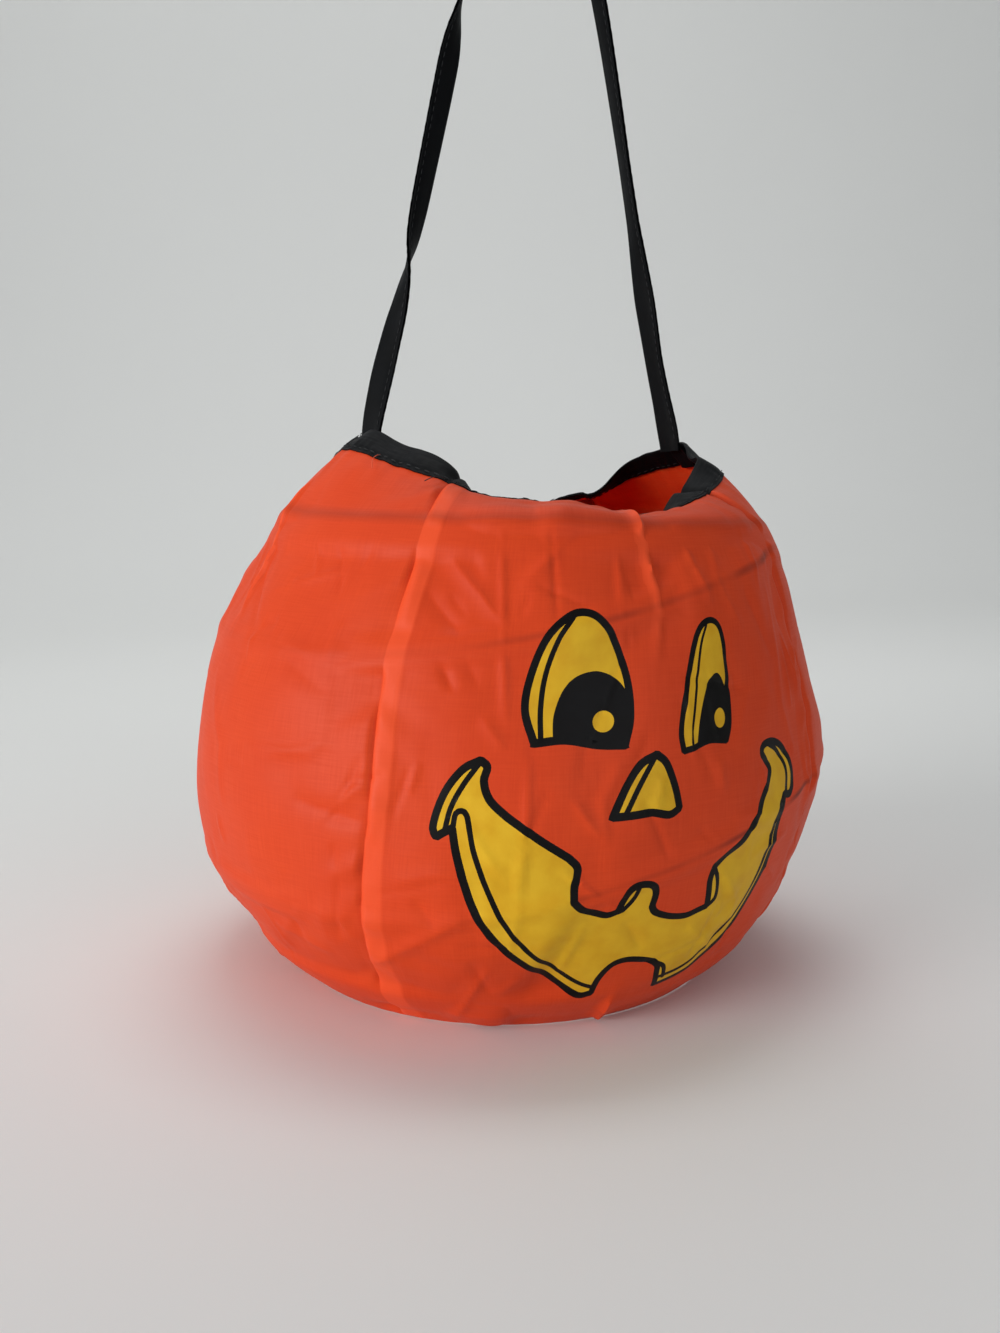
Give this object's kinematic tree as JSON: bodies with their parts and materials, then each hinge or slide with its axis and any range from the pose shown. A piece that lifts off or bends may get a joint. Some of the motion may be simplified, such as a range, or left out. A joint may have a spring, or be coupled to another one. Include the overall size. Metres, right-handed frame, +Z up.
{
  "type": "pop-up pumpkin candy pail",
  "caption": "Collapsible cloth pumpkin pail: round orange body on a spiral spring wire, black bound open mouth and a black carry strap.",
  "frame": {"origin": "centre of the base panel's underside, where the pail stands", "axes": "+Z up; -Y is the side with the printed face; the strap ends lie at +X and -X"},
  "size_m": [0.24, 0.24, 0.4601],
  "materials": {
    "orange_cloth": "thin woven polyester with a faint sheen",
    "black_tape": "matt woven tape",
    "spring_steel": "drawn spring wire",
    "crimped_steel": "crimped sleeve",
    "keeper_cloth": "folded cloth strip"
  },
  "bodies": {
    "pail": {"front_panel": "orange_cloth", "right_panel": "orange_cloth", "back_panel": "orange_cloth", "left_panel": "orange_cloth", "base_panel": "orange_cloth", "spring_wire": "spring_steel", "wire_sleeve_top": "crimped_steel", "wire_sleeve_bottom": "crimped_steel", "wire_keepers_front_right": "keeper_cloth", "wire_keepers_back_right": "keeper_cloth", "wire_keepers_back_left": "keeper_cloth", "wire_keepers_front_left": "keeper_cloth"},
    "mouth": {"rim_binding": "black_tape", "strap_end_right": "black_tape", "strap_end_left": "black_tape"},
    "strap": {"carry_strap": "black_tape"}
  },
  "joints": [
    {"name": "collapse", "type": "slide", "parent": "pail", "child": "mouth", "axis": [0, 0, 1], "range_m": [-0.166, 0], "stiffness_N_per_m": 30, "springref_m": 0.05, "deforming": ["front_panel", "right_panel", "back_panel", "left_panel", "spring_wire", "wire_sleeve_top", "wire_sleeve_bottom", "wire_keepers_front_right", "wire_keepers_back_right", "wire_keepers_back_left", "wire_keepers_front_left", "rim_binding"]},
    {"name": "strap_swing", "type": "hinge", "parent": "mouth", "child": "strap", "pos_m": [0, 0, 0.19755], "axis": [1, 0, 0], "range_deg": [-90, 90], "deforming": ["carry_strap"]}
  ]
}
